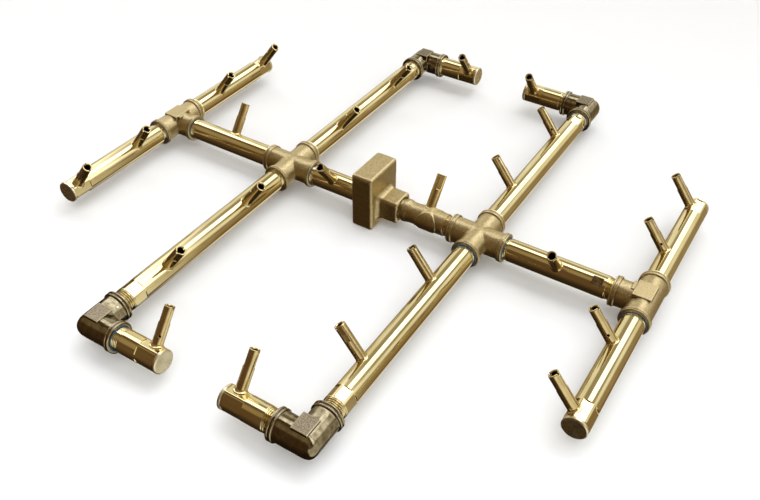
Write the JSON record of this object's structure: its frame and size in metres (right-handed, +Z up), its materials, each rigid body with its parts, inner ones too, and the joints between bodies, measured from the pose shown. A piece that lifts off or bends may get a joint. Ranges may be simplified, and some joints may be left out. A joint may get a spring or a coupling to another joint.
{
  "type": "gas burner assembly",
  "caption": "Flat branching fire-pit gas burner of threaded brass pipe, fed by a central cast air mixer, with open tubular jets leaning inwards from every arm.",
  "frame": {"origin": "on the surface the mixer stands on, below the middle of the whole burner", "axes": "+Z up, +X along the trunk from the left tee to the right tee past the mixer, +Y along the side arms to the back"},
  "size_m": [0.56, 0.57, 0.0595],
  "materials": {
    "drawn_brass": "polished drawn tube",
    "turned_brass": "bright turned",
    "plug_brass": "faced on a lathe",
    "cast_brass": "matte blasted casting",
    "tumbled_brass": "tumbled casting, semi-bright",
    "thread_sealant": "cured blue sealing compound"
  },
  "bodies": {
    "root": {"gas_orifice": "turned_brass", "left_back_cross_arm_jet_inner": "turned_brass", "left_back_cross_arm_jet_outer": "turned_brass", "left_back_cross_arm_pipe": "drawn_brass", "left_back_elbow": "tumbled_brass", "left_back_nipple_jet": "turned_brass", "left_back_nipple_pipe": "drawn_brass", "left_back_nipple_plug": "plug_brass", "left_back_tee_arm_jet_inner": "turned_brass", "left_back_tee_arm_jet_outer": "turned_brass", "left_back_tee_arm_pipe": "drawn_brass", "left_back_tee_arm_plug": "plug_brass", "left_cross": "cast_brass", "left_front_cross_arm_jet_inner": "turned_brass", "left_front_cross_arm_jet_outer": "turned_brass", "left_front_cross_arm_pipe": "drawn_brass", "left_front_elbow": "tumbled_brass", "left_front_nipple_jet": "turned_brass", "left_front_nipple_pipe": "drawn_brass", "left_front_nipple_plug": "plug_brass", "left_front_tee_arm_jet_inner": "turned_brass", "left_front_tee_arm_jet_outer": "turned_brass", "left_front_tee_arm_pipe": "drawn_brass", "left_front_tee_arm_plug": "plug_brass", "left_inner_trunk_jet": "turned_brass", "left_inner_trunk_pipe": "drawn_brass", "left_tee": "cast_brass", "left_trunk_jet": "turned_brass", "left_trunk_pipe": "drawn_brass", "mixer_body": "cast_brass", "mixer_neck": "cast_brass", "neck_jet": "turned_brass", "right_back_cross_arm_jet_inner": "turned_brass", "right_back_cross_arm_jet_outer": "turned_brass", "right_back_cross_arm_pipe": "drawn_brass", "right_back_elbow": "tumbled_brass", "right_back_nipple_jet": "turned_brass", "right_back_nipple_pipe": "drawn_brass", "right_back_nipple_plug": "plug_brass", "right_back_tee_arm_jet_inner": "turned_brass", "right_back_tee_arm_jet_outer": "turned_brass", "right_back_tee_arm_pipe": "drawn_brass", "right_back_tee_arm_plug": "plug_brass", "right_cross": "cast_brass", "right_front_cross_arm_jet_inner": "turned_brass", "right_front_cross_arm_jet_outer": "turned_brass", "right_front_cross_arm_pipe": "drawn_brass", "right_front_elbow": "tumbled_brass", "right_front_nipple_jet": "turned_brass", "right_front_nipple_pipe": "drawn_brass", "right_front_nipple_plug": "plug_brass", "right_front_tee_arm_jet_inner": "turned_brass", "right_front_tee_arm_jet_outer": "turned_brass", "right_front_tee_arm_pipe": "drawn_brass", "right_front_tee_arm_plug": "plug_brass", "right_tee": "cast_brass", "right_trunk_jet": "turned_brass", "right_trunk_pipe": "drawn_brass"}
  },
  "joints": []
}
